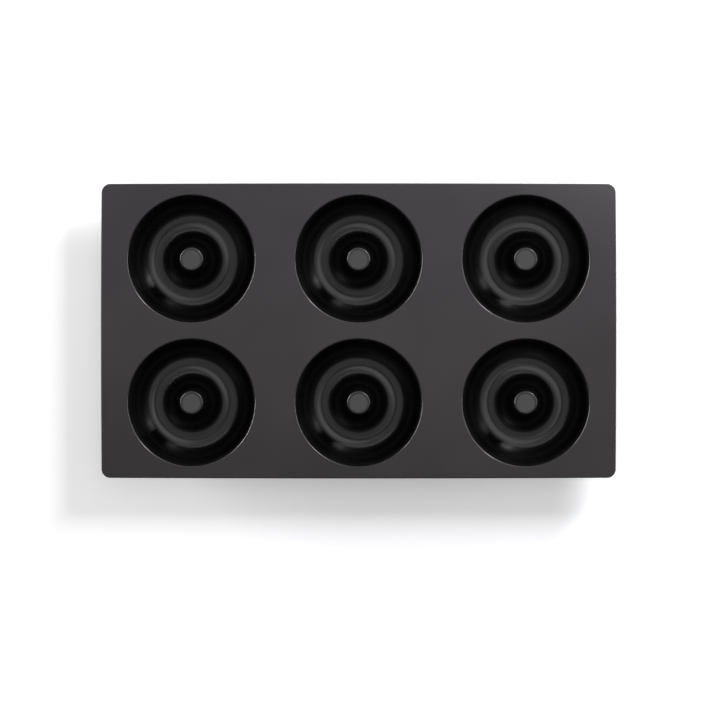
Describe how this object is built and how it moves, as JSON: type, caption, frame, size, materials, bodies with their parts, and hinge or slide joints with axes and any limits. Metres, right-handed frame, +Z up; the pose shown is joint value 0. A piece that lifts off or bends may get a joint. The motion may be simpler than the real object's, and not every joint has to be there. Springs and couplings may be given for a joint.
{
  "type": "doughnut pan",
  "caption": "Rectangular silicone doughnut pan: a flat flange with ring-shaped wells in a grid, each round a hollow island that is level with the flange.",
  "frame": {"origin": "middle of the pan, on the surface that it stands on", "axes": "+X along the pan's length, +Y across it, +Z up, out of the wells' mouths"},
  "size_m": [0.3, 0.1714, 0.028],
  "materials": {
    "silicone": "black silicone, matt on the flange, the island tops and the outside, polished inside the wells"
  },
  "bodies": {
    "root": {"doughnut_mould": "silicone"}
  },
  "joints": []
}
